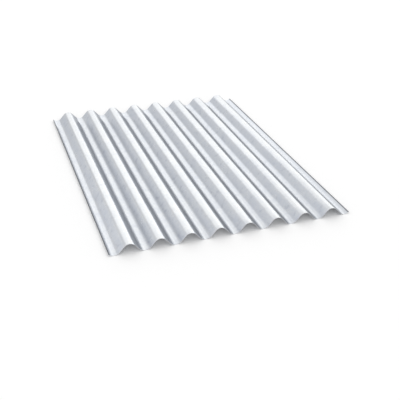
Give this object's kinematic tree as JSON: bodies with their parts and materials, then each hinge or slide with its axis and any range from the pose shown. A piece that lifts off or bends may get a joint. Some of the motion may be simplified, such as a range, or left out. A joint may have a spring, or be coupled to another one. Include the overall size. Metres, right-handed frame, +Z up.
{
  "type": "corrugated metal sheet",
  "caption": "Rectangular galvanised steel sheet roll-formed into parallel round corrugations, for roofing, wall cladding and fencing.",
  "frame": {"origin": "middle of the sheet's footprint, at the level of the surface that its troughs rest on", "axes": "+Y along the corrugations, +X across them, +Z up from the surface that the sheet lies on"},
  "size_m": [0.5652, 0.762, 0.0229],
  "materials": {
    "galvanised_steel": "hot-dip galvanised, bright satin zinc with a fine faint spangle"
  },
  "bodies": {
    "root": {"corrugated_sheet": "galvanised_steel"}
  },
  "joints": []
}
